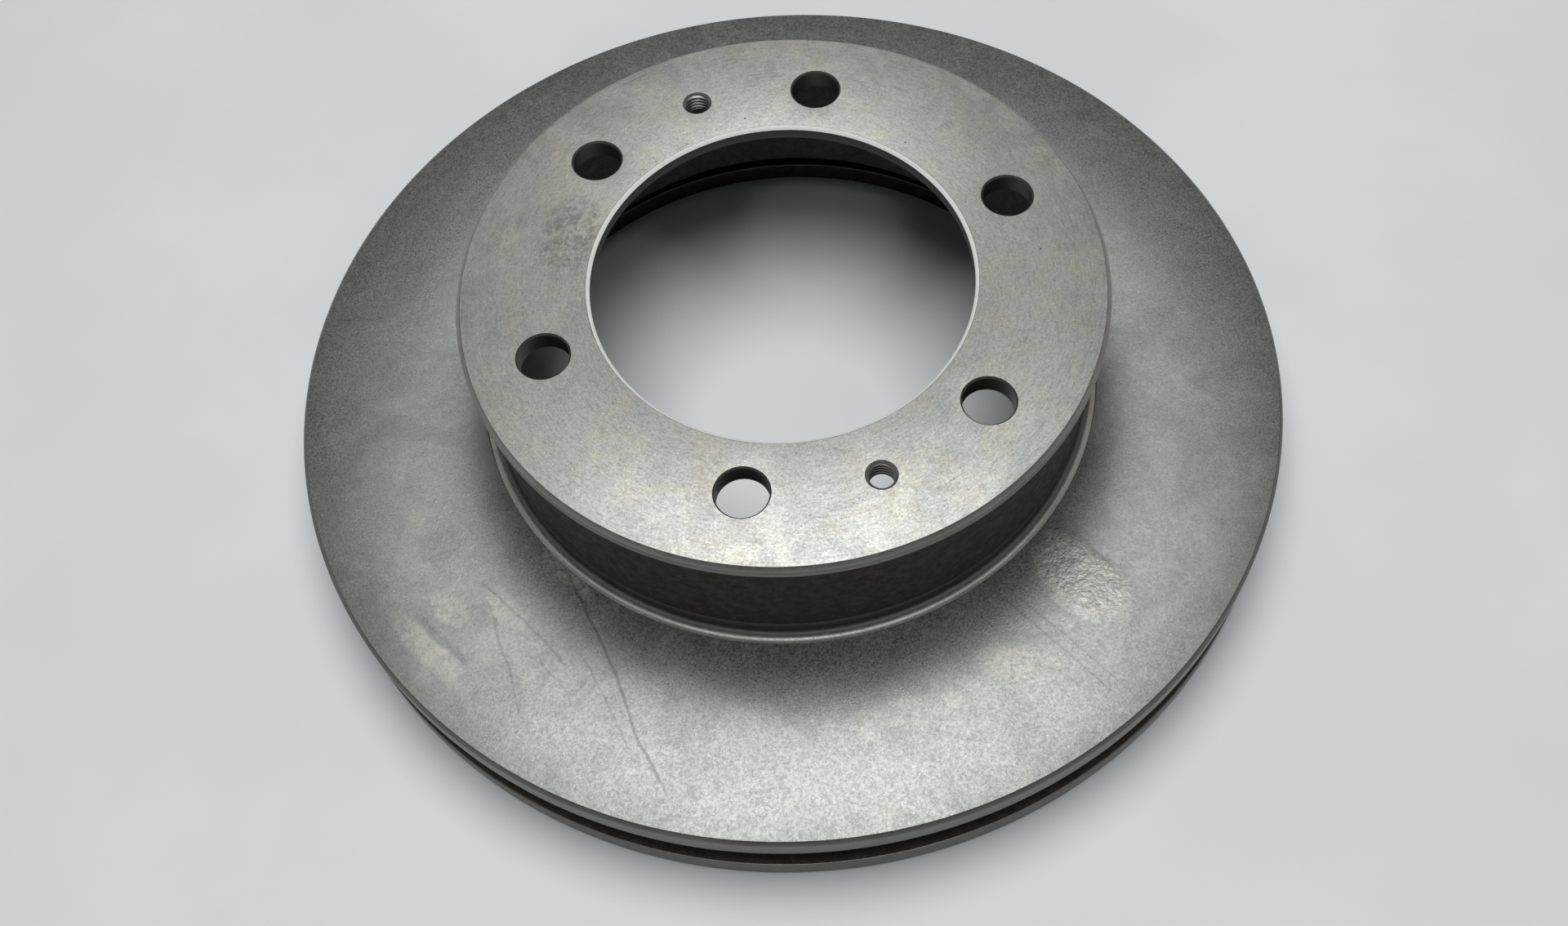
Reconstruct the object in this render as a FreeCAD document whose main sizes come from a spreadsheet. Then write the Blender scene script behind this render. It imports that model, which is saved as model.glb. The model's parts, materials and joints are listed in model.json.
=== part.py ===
import FreeCAD, Part
import math
import os
import Sketcher

# Ventilated front brake disc with a top-hat centre. The real disc is one grey-iron casting.
# Its regions are modelled as separate solids that meet face to face. Millimetres throughout.
#
# Frame: the origin is on the axis of rotation, in the plane where the disc seats on the hub.
# +Z runs along the axis towards the wheel, and +X runs through the centre of a stud hole.
#
# From the top down: the hat flange with the mounting face, the hat wall, then the friction
# ring, which is an outboard plate and an inboard plate held apart by radial cooling vanes.

# Driving sizes: alias, value, what it measures.
SIZES = (
    ("disc_diameter", 294.0, "outside diameter of both friction plates"),
    ("ring_thickness", 26.0, "across the two friction faces"),
    ("plate_thickness", 7.5, "each friction plate"),
    ("edge_chamfer", 1.0, "45 degree chamfer on the edges of the friction faces"),
    ("hat_offset", 43.5, "mounting face down to the outboard friction face"),
    ("flange_thickness", 6.5, "mounting face down to the hub seat"),
    ("land_overhang", 2.5, "turned land at the edge of the mounting face, out from the wall"),
    ("land_depth", 3.6, "mounting face down to the lower edge of the land"),
    ("land_chamfer", 1.2, "45 degree chamfer on the edge of the mounting face"),
    ("wall_clearance", 13.65, "stud circle out to the inside of the hat wall"),
    ("wall_thickness", 5.5, "hat wall"),
    ("wall_fillet", 5.0, "inside corner between the hat wall and the hub seat"),
    ("neck_radius", 5.0, "rounding where the hat wall opens into the air gap"),
    ("groove_width", 3.5, "relief groove, hat wall out to the inner edge of the friction faces"),
    ("groove_radius", 2.6, "corner of the relief groove at the foot of the hat wall"),
    ("groove_depth", 1.3, "relief groove below the outboard friction face"),
    ("bore_diameter", 108.0, "central pilot bore"),
    ("bore_chamfer", 1.0, "45 degree chamfer of the bore, on the mounting face"),
    ("bore_lead_in", 2.2, "45 degree lead-in of the bore, on the hub side"),
    ("stud_count", 6, "wheel stud holes"),
    ("stud_inset", 15.85, "bore wall out to the circle of the stud and jack-screw holes"),
    ("stud_hole_diameter", 14.3, "stud clearance hole"),
    ("stud_hole_chamfer", 0.5, "45 degree chamfer at both ends of a stud hole"),
    ("jack_count", 2, "jack-screw holes, used to push the disc off the hub"),
    ("jack_drill_diameter", 6.8, "tapping drill of an M8 x 1.25 thread"),
    ("jack_sink_diameter", 8.8, "countersink of a jack-screw hole"),
    ("vane_count", 36, "radial cooling vanes"),
    ("vane_thickness", 5.0, "across a vane"),
    ("vane_inner_inset", 4.5, "inner edge of the friction plates out to the vanes"),
    ("vane_outer_inset", 6.5, "outer edge of the friction plates in to the vanes"),
    ("vane_end_radius", 2.2, "vertical edges of a vane"),
)

# Radii, as expressions on the sheet.
DISC_R = "Sizes.disc_diameter / 2"
BORE_R = "Sizes.bore_diameter / 2"
STUD_CIRCLE_R = f"({BORE_R} + Sizes.stud_inset)"
WALL_IN_R = f"({STUD_CIRCLE_R} + Sizes.wall_clearance)"
SEAT_R = f"({WALL_IN_R} - Sizes.wall_fillet)"
WALL_R = f"({WALL_IN_R} + Sizes.wall_thickness)"
LAND_R = f"({WALL_R} + Sizes.land_overhang)"
FRICTION_IN_R = f"({WALL_R} + Sizes.groove_width)"
VANE_IN_R = f"({FRICTION_IN_R} + Sizes.vane_inner_inset)"
VANE_OUT_R = f"({DISC_R} - Sizes.vane_outer_inset)"

# Heights above the hub seat, as expressions on the sheet.
HUB_SEAT = "0 * Sizes.flange_thickness"
MOUNTING_FACE = "Sizes.flange_thickness"
LAND_FOOT = f"({MOUNTING_FACE} - Sizes.land_depth)"
OUTBOARD_FACE = f"({MOUNTING_FACE} - Sizes.hat_offset)"
OUTBOARD_BACK = f"({OUTBOARD_FACE} - Sizes.plate_thickness)"
INBOARD_FACE = f"({OUTBOARD_FACE} - Sizes.ring_thickness)"
INBOARD_BACK = f"({INBOARD_FACE} + Sizes.plate_thickness)"
GROOVE_FLOOR = f"({OUTBOARD_FACE} - Sizes.groove_depth)"

# Angle of the first jack-screw hole from +X, in stud spacings: midway between two studs.
JACK_STEP = 1.5

# The rounding of a vane's upright edges is at most this share of the vane's thickness.
VANE_EDGE_LIMIT = 0.45

# Which way a quarter round turns, seen along the loop.
LEFT = 1
RIGHT = -1

TOLERANCE = 1e-6


def make_sheet(doc):
    """Adds the spreadsheet that holds every driving size under its alias."""
    sheet = doc.addObject("Spreadsheet::Sheet", "Sizes")
    for row, (alias, value, note) in enumerate(SIZES, start=1):
        sheet.set(f"A{row}", note)
        sheet.set(f"B{row}", str(value))
        sheet.setAlias(f"B{row}", alias)
    doc.recompute()
    return sheet


def make_body(doc, label):
    """Adds an empty body whose label is also the name of its file."""
    body = doc.addObject("PartDesign::Body", label)
    body.Label = label
    return body


def origin_feature(body, role):
    """Finds one of the body's own origin planes or axes by its role."""
    return next(item for item in body.Origin.OriginFeatures if item.Role == role)


def value_of(doc, expression):
    """Works out an expression on the sheet as a plain number."""
    return float(doc.Sizes.evalExpression(expression))


def new_sketch(body, name, plane, lift=None):
    """Adds an empty sketch on an origin plane of the body, lifted off it by an expression."""
    sketch = body.newObject("Sketcher::SketchObject", name)
    sketch.AttachmentSupport = [(origin_feature(body, plane), "")]
    sketch.MapMode = "FlatFace"
    if lift:
        sketch.setExpression("AttachmentOffset.Base.z", lift)
    return sketch


def bind(sketch, constraint, expression):
    """Adds a driving constraint to the sketch and ties its value to the expression."""
    index = sketch.addConstraint(constraint)
    sketch.setExpression(f"Constraints[{index}]", expression)


def pin_point(doc, sketch, edge, end, across, up):
    """Fixes one end of an edge at the two expressions, measured from the sketch's origin."""
    for kind, expression in (("DistanceX", across), ("DistanceY", up)):
        value = value_of(doc, expression)
        bind(sketch, Sketcher.Constraint(kind, -1, 1, edge, end, value), expression)


def draw_loop(body, name, plane, corners, lift=None):
    """Draws a closed loop through the corners.

    A corner is (across, up), two expressions. A third entry is the radius of a quarter round
    that leads from this corner to the next, and a fourth says whether it turns LEFT or RIGHT.
    """
    doc = body.Document
    sketch = new_sketch(body, name, plane, lift)
    points = [FreeCAD.Vector(value_of(doc, c[0]), value_of(doc, c[1]), 0) for c in corners]
    ends = []
    for index, corner in enumerate(corners):
        start = points[index]
        end = points[(index + 1) % len(points)]
        turn = corner[3] if len(corner) > 2 else LEFT
        if len(corner) > 2:
            sketch.addGeometry(quarter_round(start, end, turn), False)
        else:
            sketch.addGeometry(Part.LineSegment(start, end), False)
        # A sketch numbers an arc's ends anticlockwise, so a right turn starts at its end 2.
        ends.append((1, 2) if turn == LEFT else (2, 1))
    for index, corner in enumerate(corners):
        following = (index + 1) % len(corners)
        meeting = (index, ends[index][1], following, ends[following][0])
        sketch.addConstraint(Sketcher.Constraint("Coincident", *meeting))
        pin_point(doc, sketch, index, ends[index][0], corner[0], corner[1])
        if len(corner) > 2:
            radius = value_of(doc, corner[2])
            bind(sketch, Sketcher.Constraint("Radius", index, radius), corner[2])
    return sketch


def quarter_round(start, end, turn):
    """Gives the quarter circle from start to end, kept anticlockwise."""
    chord = end - start
    centre = (start + end) * 0.5 + FreeCAD.Vector(-chord.y, chord.x, 0) * (turn / 2)
    first = start if turn == LEFT else end
    spoke = first - centre
    angle = math.atan2(spoke.y, spoke.x)
    circle = Part.Circle(centre, FreeCAD.Vector(0, 0, 1), spoke.Length)
    return Part.ArcOfCircle(circle, angle, angle + math.pi / 2)


def revolve(body, sketch):
    """Spins a half-section once round the body's axis."""
    solid = body.newObject("PartDesign::Revolution", f"{sketch.Name}_spun")
    solid.Profile = sketch
    solid.ReferenceAxis = (sketch, ["V_Axis"])
    solid.Angle = 360
    body.Tip = solid
    return solid


def drill(body, name, angle, diameter, sink):
    """Drills a countersunk hole on the stud circle, down through the mounting face."""
    doc = body.Document
    across = f"{STUD_CIRCLE_R} * cos({angle})"
    along = f"{STUD_CIRCLE_R} * sin({angle})"
    sketch = new_sketch(body, f"{name}_centre", "XY_Plane", MOUNTING_FACE)
    centre = FreeCAD.Vector(value_of(doc, across), value_of(doc, along), 0)
    normal = FreeCAD.Vector(0, 0, 1)
    sketch.addGeometry(Part.Circle(centre, normal, value_of(doc, diameter) / 2), False)
    pin_point(doc, sketch, 0, 3, across, along)
    bind(sketch, Sketcher.Constraint("Diameter", 0, value_of(doc, diameter)), diameter)
    doc.recompute()
    hole = body.newObject("PartDesign::Hole", name)
    hole.Profile = sketch
    hole.DepthType = "ThroughAll"
    hole.Threaded = False
    hole.HoleCutType = "Countersink"
    hole.HoleCutCountersinkAngle = 90
    hole.setExpression("Diameter", diameter)
    hole.setExpression("HoleCutDiameter", sink)
    body.Tip = hole
    doc.recompute()
    return hole


def repeat_round_axis(body, feature, count):
    """Repeats a feature of the body evenly round the axis of rotation."""
    pattern = body.newObject("PartDesign::PolarPattern", f"{feature.Name}_ring")
    pattern.Originals = [feature]
    pattern.Axis = (origin_feature(body, "Z_Axis"), [""])
    pattern.Angle = 360
    pattern.setExpression("Occurrences", count)
    body.Tip = pattern
    body.Document.recompute()
    return pattern


def circle_edges(shape, radius, height):
    """Names the circular edges of the given radius that lie flat at the given height."""
    names = []
    for number, edge in enumerate(shape.Edges, start=1):
        if not isinstance(edge.Curve, Part.Circle):
            continue
        same_size = abs(edge.Curve.Radius - radius) < TOLERANCE
        same_height = abs(edge.Curve.Center.z - height) < TOLERANCE
        if same_size and same_height:
            names.append(f"Edge{number}")
    return names


def make_hat_flange(doc):
    """The mounting face with its pilot bore, stud holes and jack-screw holes."""
    body = make_body(doc, "hat_flange")
    section = draw_loop(body, "flange_section", "XZ_Plane", [
        (f"{BORE_R} + Sizes.bore_lead_in", HUB_SEAT),
        (SEAT_R, HUB_SEAT),
        (SEAT_R, LAND_FOOT),
        (LAND_R, LAND_FOOT),
        (LAND_R, f"{MOUNTING_FACE} - Sizes.land_chamfer"),
        (f"{LAND_R} - Sizes.land_chamfer", MOUNTING_FACE),
        (f"{BORE_R} + Sizes.bore_chamfer", MOUNTING_FACE),
        (BORE_R, f"{MOUNTING_FACE} - Sizes.bore_chamfer"),
        (BORE_R, "Sizes.bore_lead_in"),
    ])
    revolve(body, section)
    doc.recompute()

    stud_sink = "Sizes.stud_hole_diameter + 2 * Sizes.stud_hole_chamfer"
    stud = drill(body, "stud_hole", "0 deg", "Sizes.stud_hole_diameter", stud_sink)
    holes = repeat_round_axis(body, stud, "Sizes.stud_count")

    # Each jack-screw hole is midway between two studs, and they are spread round the circle.
    for number in range(int(doc.Sizes.jack_count)):
        steps = f"({JACK_STEP} + {number} * floor(Sizes.stud_count / Sizes.jack_count))"
        angle = f"{steps} * 360 deg / Sizes.stud_count"
        name = f"jack_hole_{number + 1}"
        holes = drill(body, name, angle, "Sizes.jack_drill_diameter", "Sizes.jack_sink_diameter")

    lower_edges = body.newObject("PartDesign::Chamfer", "stud_hole_lower_edges")
    stud_radius = value_of(doc, "Sizes.stud_hole_diameter / 2")
    lower_edges.Base = (holes, circle_edges(holes.Shape, stud_radius, 0))
    lower_edges.setExpression("Size", "Sizes.stud_hole_chamfer")
    body.Tip = lower_edges
    return body


def make_hat_wall(doc):
    """The wall of the hat, from the foot of the land down to the neck above the air gap."""
    body = make_body(doc, "hat_wall")
    section = draw_loop(body, "wall_section", "XZ_Plane", [
        (WALL_R, LAND_FOOT),
        (WALL_R, f"{GROOVE_FLOOR} + Sizes.groove_radius", "Sizes.groove_radius", LEFT),
        (f"{WALL_R} + Sizes.groove_radius", GROOVE_FLOOR),
        (FRICTION_IN_R, GROOVE_FLOOR),
        (FRICTION_IN_R, OUTBOARD_BACK),
        (f"{WALL_IN_R} + Sizes.neck_radius", OUTBOARD_BACK, "Sizes.neck_radius", RIGHT),
        (WALL_IN_R, f"{OUTBOARD_BACK} + Sizes.neck_radius"),
        (WALL_IN_R, f"{HUB_SEAT} - Sizes.wall_fillet", "Sizes.wall_fillet", LEFT),
        (SEAT_R, HUB_SEAT),
        (SEAT_R, LAND_FOOT),
    ])
    revolve(body, section)
    return body


def make_outboard_plate(doc):
    """The friction plate on the wheel side, cast in one with the foot of the hat."""
    body = make_body(doc, "outboard_friction_plate")
    section = draw_loop(body, "outboard_section", "XZ_Plane", [
        (FRICTION_IN_R, OUTBOARD_BACK),
        (DISC_R, OUTBOARD_BACK),
        (DISC_R, f"{OUTBOARD_FACE} - Sizes.edge_chamfer"),
        (f"{DISC_R} - Sizes.edge_chamfer", OUTBOARD_FACE),
        (FRICTION_IN_R, OUTBOARD_FACE),
    ])
    revolve(body, section)
    return body


def make_inboard_plate(doc):
    """The friction plate on the vehicle side, held only by the vanes."""
    body = make_body(doc, "inboard_friction_plate")
    section = draw_loop(body, "inboard_section", "XZ_Plane", [
        (FRICTION_IN_R, f"{INBOARD_FACE} + Sizes.edge_chamfer"),
        (f"{FRICTION_IN_R} + Sizes.edge_chamfer", INBOARD_FACE),
        (f"{DISC_R} - Sizes.edge_chamfer", INBOARD_FACE),
        (DISC_R, f"{INBOARD_FACE} + Sizes.edge_chamfer"),
        (DISC_R, INBOARD_BACK),
        (FRICTION_IN_R, INBOARD_BACK),
    ])
    revolve(body, section)
    return body


def make_vane(doc, number):
    """One radial cooling vane, from the back of one friction plate to the back of the other."""
    body = make_body(doc, f"vane_{number:02d}")
    outline = draw_loop(body, f"vane_outline_{number:02d}", "XY_Plane", [
        (VANE_IN_R, "-Sizes.vane_thickness / 2"),
        (VANE_OUT_R, "-Sizes.vane_thickness / 2"),
        (VANE_OUT_R, "Sizes.vane_thickness / 2"),
        (VANE_IN_R, "Sizes.vane_thickness / 2"),
    ], INBOARD_BACK)
    web = body.newObject("PartDesign::Pad", f"vane_web_{number:02d}")
    web.Profile = outline
    web.setExpression("Length", "Sizes.ring_thickness - 2 * Sizes.plate_thickness")
    body.Tip = web
    doc.recompute()
    rounding = body.newObject("PartDesign::Fillet", f"vane_edges_{number:02d}")
    upright = [f"Edge{n}" for n, edge in enumerate(web.Shape.Edges, start=1)
               if abs(edge.tangentAt(edge.FirstParameter).z) > 1 - TOLERANCE]
    rounding.Base = (web, upright)
    limit = f"{VANE_EDGE_LIMIT} * Sizes.vane_thickness"
    rounding.setExpression("Radius", f"min(Sizes.vane_end_radius; {limit})")
    body.Tip = rounding
    body.setExpression("Placement.Rotation.Angle", f"{number - 1} * 360 deg / Sizes.vane_count")
    return body


def check(doc, bodies):
    """Stops the build if an object failed or a sub-part is not one sound solid."""
    for item in doc.Objects:
        if "Invalid" in item.State or "Error" in item.State:
            raise RuntimeError(f"{item.Name} failed: {item.State}")
        if item.TypeId == "Sketcher::SketchObject" and not item.FullyConstrained:
            raise RuntimeError(f"{item.Name} is not fully constrained")
    for body in bodies:
        shape = body.Shape
        if shape.isNull() or not shape.isValid() or len(shape.Solids) != 1:
            raise RuntimeError(f"{body.Label} is not one sound solid")


def export(bodies):
    """Writes each sub-part to its own STEP file."""
    os.makedirs("parts", exist_ok=True)
    for body in bodies:
        body.Shape.exportStep(f"parts/{body.Label}.step")


def main():
    doc = FreeCAD.newDocument("brake_disc")
    sheet = make_sheet(doc)
    bodies = [
        make_hat_flange(doc),
        make_hat_wall(doc),
        make_outboard_plate(doc),
        make_inboard_plate(doc),
    ]
    for number in range(1, int(sheet.vane_count) + 1):
        bodies.append(make_vane(doc, number))
    doc.recompute()
    check(doc, bodies)
    export(bodies)
    volume = sum(body.Shape.Volume for body in bodies)
    print(f"{len(bodies)} sub-parts, {volume / 1000:.1f} cm3")


main()
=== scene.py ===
"""The finished look of a ventilated brake disc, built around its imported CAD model.

The disc is one iron casting. Each region of it that the CAD keeps as a solid gets a finely
turned or cast piece here, in the same place and at the same size, with the finish that it
has there. Lengths are metres, and MM turns a size in millimetres into metres.
"""

import json
import logging
import math
from abc import ABC, abstractmethod
from collections.abc import Callable, Iterable, Iterator, Sequence
from contextlib import contextmanager
from dataclasses import dataclass, field
from enum import Enum
from typing import Any

import bpy
from mathutils import Matrix, Vector


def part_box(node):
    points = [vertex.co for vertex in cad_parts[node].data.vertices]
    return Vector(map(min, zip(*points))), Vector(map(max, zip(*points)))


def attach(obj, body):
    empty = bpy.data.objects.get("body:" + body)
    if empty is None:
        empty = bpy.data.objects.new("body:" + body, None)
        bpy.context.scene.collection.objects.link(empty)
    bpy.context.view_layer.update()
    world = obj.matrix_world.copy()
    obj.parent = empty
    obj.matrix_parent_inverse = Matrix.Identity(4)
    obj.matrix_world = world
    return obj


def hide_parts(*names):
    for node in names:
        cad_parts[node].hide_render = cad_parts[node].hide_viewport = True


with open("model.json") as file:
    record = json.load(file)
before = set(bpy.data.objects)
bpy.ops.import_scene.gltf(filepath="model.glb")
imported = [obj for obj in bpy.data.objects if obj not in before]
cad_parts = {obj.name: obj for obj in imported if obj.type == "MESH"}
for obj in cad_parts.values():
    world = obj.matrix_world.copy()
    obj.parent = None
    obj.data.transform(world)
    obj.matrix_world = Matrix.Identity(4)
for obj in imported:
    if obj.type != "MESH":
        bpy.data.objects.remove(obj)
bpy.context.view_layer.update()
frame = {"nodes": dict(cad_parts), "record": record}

MM = 0.001
# Points closer than NEAR count as one place, and points closer than DOUBLE are merged.
NEAR = 0.02 * MM
DOUBLE = 0.002 * MM
# A face whose unit normal stands up further than FLAT lies flat, and further than SLANTED slants up.
FLAT = 0.99
SLANTED = 0.3
FULL_TURN = 2 * math.pi
# The bevel's profile that makes a quarter round.
ROUND = 0.5
BODY = "root"

logging.basicConfig(level=logging.INFO, format="%(message)s")
log = logging.getLogger("brake_disc")


class Slot(Enum):
    """The record's material slots."""

    TURNED = "turned_face"
    GROUND = "ground_friction_face"
    CAST = "cast_skin"


class Side(Enum):
    """Which of the two friction plates, by where it faces."""

    OUTBOARD = "outboard_friction_plate"
    INBOARD = "inboard_friction_plate"


# ---------------------------------------------------------------------------------------
# Sizes
# ---------------------------------------------------------------------------------------


def mount(name: str) -> dict[str, Any]:
    """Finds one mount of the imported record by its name."""
    return next(item for item in frame["record"]["mounts"] if item["name"] == name)


def inner_radius(node: str) -> float:
    """Gives the smallest distance from the axis to a CAD node's mesh."""
    return min(away(vertex.co) for vertex in frame["nodes"][node].data.vertices)


@dataclass(frozen=True)
class DiscSizes:
    """The disc's main radii and heights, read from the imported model."""

    bore: float
    stud_circle: float
    stud_hole: float
    stud_count: int
    tap_drill: float
    seat: float
    land: float
    friction_inner: float
    outer: float
    mounting_face: float
    hub_seat: float
    land_foot: float
    outboard_face: float
    outboard_back: float
    inboard_back: float
    inboard_face: float

    @classmethod
    def from_frame(cls) -> "DiscSizes":
        """Reads the boxes of the CAD nodes and the sizes of the record's mounts.

        Returns:
            The sizes, in metres.
        """
        flange_low, flange_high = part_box("hat_flange")
        outboard_low, outboard_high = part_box(Side.OUTBOARD.value)
        inboard_low, inboard_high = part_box(Side.INBOARD.value)
        studs = mount("stud_holes")["dims"]
        return cls(
            bore=mount("hub_bore")["dims"]["r_mm"] * MM,
            stud_circle=studs["pcd_mm"] / 2 * MM,
            stud_hole=studs["hole_r_mm"] * MM,
            stud_count=studs["count"],
            tap_drill=mount("jack_screw_hole_a")["dims"]["r_mm"] * MM,
            seat=inner_radius("hat_wall"),
            land=flange_high.x,
            friction_inner=inner_radius(Side.OUTBOARD.value),
            outer=outboard_high.x,
            mounting_face=flange_high.z,
            hub_seat=flange_low.z,
            land_foot=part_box("hat_wall")[1].z,
            outboard_face=outboard_high.z,
            outboard_back=outboard_low.z,
            inboard_back=inboard_high.z,
            inboard_face=inboard_low.z,
        )


# ---------------------------------------------------------------------------------------
# Tools of the bench
# ---------------------------------------------------------------------------------------


@contextmanager
def edit_mode(obj: bpy.types.Object) -> Iterator[None]:
    """Holds an object in edit mode, with nothing else selected.

    Args:
        obj: The mesh object to edit.
    """
    pick(obj)
    bpy.ops.object.mode_set(mode="EDIT")
    yield
    bpy.ops.object.mode_set(mode="OBJECT")


def pick(obj: bpy.types.Object) -> None:
    """Selects one object alone and makes it the active one."""
    bpy.ops.object.select_all(action="DESELECT")
    obj.select_set(True)
    bpy.context.view_layer.objects.active = obj


def apply_place(obj: bpy.types.Object) -> None:
    """Puts an object's place into its mesh, so that it sits at the origin, unturned."""
    pick(obj)
    bpy.ops.object.transform_apply(location=True, rotation=True, scale=True)


def primitive(name: str, add: Callable[..., Any], **settings: Any) -> bpy.types.Object:
    """Adds a primitive by itself, at its size and place.

    Args:
        name: The new object's name, which its mesh takes too.
        add: The operator that adds it.
        **settings: The operator's settings.

    Returns:
        The object, at the origin and with its place in its mesh.
    """
    bpy.ops.object.select_all(action="DESELECT")
    add(**settings)
    obj = bpy.context.active_object
    obj.name = name
    obj.data.name = name
    apply_place(obj)
    return obj


def away(point: Vector) -> float:
    """Gives a point's distance from the disc's axis."""
    return math.hypot(point.x, point.y)


def apply_modifier(obj: bpy.types.Object, kind: str, **settings: Any) -> None:
    """Adds a modifier to an object, sets it up and applies it.

    Args:
        obj: The object to change.
        kind: The modifier's type.
        **settings: The modifier's own properties.
    """
    pick(obj)
    modifier = obj.modifiers.new(kind.lower(), kind)
    for key, value in settings.items():
        setattr(modifier, key, value)
    bpy.ops.object.modifier_apply(modifier=modifier.name)


def cut(obj: bpy.types.Object, cutter: bpy.types.Object) -> None:
    """Cuts a closed cutter out of an object and removes the cutter.

    Args:
        obj: The piece that is cut.
        cutter: The closed mesh that is taken away.
    """
    apply_modifier(obj, "BOOLEAN", object=cutter, operation="DIFFERENCE", solver="EXACT")
    bpy.data.objects.remove(cutter)


def joined(parts: list[bpy.types.Object]) -> bpy.types.Object:
    """Joins several meshes into the first of them."""
    pick(parts[0])
    for part in parts:
        part.select_set(True)
    bpy.ops.object.join()
    return parts[0]


def copy_of(obj: bpy.types.Object, name: str, place: Matrix) -> bpy.types.Object:
    """Copies an object with a mesh of its own, and moves the copy's mesh into place.

    Args:
        obj: The object to copy.
        name: The copy's name.
        place: Where the copy's mesh goes.

    Returns:
        The copy.
    """
    twin = obj.copy()
    twin.data = obj.data.copy()
    twin.name = name
    twin.data.name = name
    bpy.context.scene.collection.objects.link(twin)
    twin.matrix_world = place
    apply_place(twin)
    return twin


def select_edges(obj: bpy.types.Object, wanted: Callable[[Vector, Vector], bool]) -> None:
    """Selects the edges, in edit mode, whose two ends meet a rule.

    Args:
        obj: The object in edit mode.
        wanted: Says, from an edge's two ends, whether it is selected.
    """
    bpy.ops.mesh.select_mode(type="EDGE")
    bpy.ops.mesh.select_all(action="DESELECT")
    bpy.ops.object.mode_set(mode="OBJECT")
    points = obj.data.vertices
    for edge in obj.data.edges:
        edge.select = wanted(points[edge.vertices[0]].co, points[edge.vertices[1]].co)
    bpy.ops.object.mode_set(mode="EDIT")


def select_faces(obj: bpy.types.Object, wanted: Callable[[Vector, Vector], bool]) -> None:
    """Selects the faces, in edit mode, whose centre and normal meet a rule.

    Args:
        obj: The object in edit mode.
        wanted: Says, from a face's centre and normal, whether it is selected.
    """
    bpy.ops.mesh.select_mode(type="FACE")
    bpy.ops.mesh.select_all(action="DESELECT")
    bpy.ops.object.mode_set(mode="OBJECT")
    for face in obj.data.polygons:
        face.select = wanted(face.center, face.normal)
    bpy.ops.object.mode_set(mode="EDIT")


def smooth(obj: bpy.types.Object, angle: float = math.radians(30)) -> None:
    """Merges doubles, turns the faces outwards and smooths all but the sharp edges.

    Args:
        obj: The finished mesh object.
        angle: Edges that turn further than this stay sharp.
    """
    with edit_mode(obj):
        bpy.ops.mesh.select_all(action="SELECT")
        bpy.ops.mesh.remove_doubles(threshold=DOUBLE)
        bpy.ops.mesh.normals_make_consistent(inside=False)
    bpy.ops.object.shade_smooth_by_angle(angle=angle)


@dataclass(frozen=True)
class Corner:
    """One corner of a turned piece's half-section.

    Attributes:
        radius: Distance from the axis.
        height: Height in the disc's frame.
        rounding: How far the rounding or chamfer starts from the corner, 0 for none.
        steps: How many facets the rounding has; 1 makes a chamfer.
    """

    radius: float
    height: float
    rounding: float = 0.0
    steps: int = 2


@dataclass(frozen=True)
class Lathe:
    """Turns half-sections into rings about the disc's axis."""

    facets: int = 288

    def turn(self, name: str, corners: Sequence[Corner]) -> bpy.types.Object:
        """Draws a ring's surface from corner to corner, closes it and rounds its corners.

        Args:
            name: The new object's name.
            corners: The half-section's corners, in order round it.

        Returns:
            The ring, as one closed mesh.
        """
        first = corners[0]
        ring = primitive(name, bpy.ops.mesh.primitive_circle_add, vertices=self.facets,
                         radius=first.radius, location=(0, 0, first.height))
        with edit_mode(ring):
            bpy.ops.mesh.select_mode(type="EDGE")
            bpy.ops.mesh.select_all(action="SELECT")
            for before, after in zip(corners, corners[1:]):
                self.draw_on(before, after)
            bpy.ops.mesh.select_all(action="DESELECT")
            bpy.ops.mesh.select_non_manifold()
            bpy.ops.mesh.bridge_edge_loops()
            for corner in corners:
                if corner.rounding:
                    self.round_off(ring, corner)
        smooth(ring)
        return ring

    def draw_on(self, before: Corner, after: Corner) -> None:
        """Extrudes what is selected from one corner of the section to the next."""
        lift = (0, 0, after.height - before.height)
        spread = after.radius / before.radius
        bpy.ops.mesh.extrude_region_move(TRANSFORM_OT_translate={"value": lift})
        bpy.ops.transform.resize(value=(spread, spread, 1), center_override=(0, 0, 0))

    def round_off(self, ring: bpy.types.Object, corner: Corner) -> None:
        """Rounds or chamfers the loop of edges at one corner of the section."""

        def on_corner(point: Vector) -> bool:
            off = away(point) - corner.radius
            return abs(off) < NEAR and abs(point.z - corner.height) < NEAR

        select_edges(ring, lambda a, b: on_corner(a) and on_corner(b))
        bpy.ops.mesh.bevel(
            offset=corner.rounding, segments=corner.steps, affect="EDGES", profile=ROUND)


# ---------------------------------------------------------------------------------------
# Finishes
# ---------------------------------------------------------------------------------------

Socket = bpy.types.NodeSocket
Colour = tuple[float, float, float]
Span = tuple[float, float]
Point = tuple[float, float]

# Nearly all of a noise's values lie in NOISE_SPAN, whose middle is CENTRE.
NOISE_SPAN: Span = (0.3, 0.7)
CENTRE = 0.5
# A noise's usual swing goes into 1 about this many times.
SWINGS = 14
# The Mix node's sockets for colours.
MIX_FIRST, MIX_SECOND, MIX_RESULT = 6, 7, 2


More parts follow.
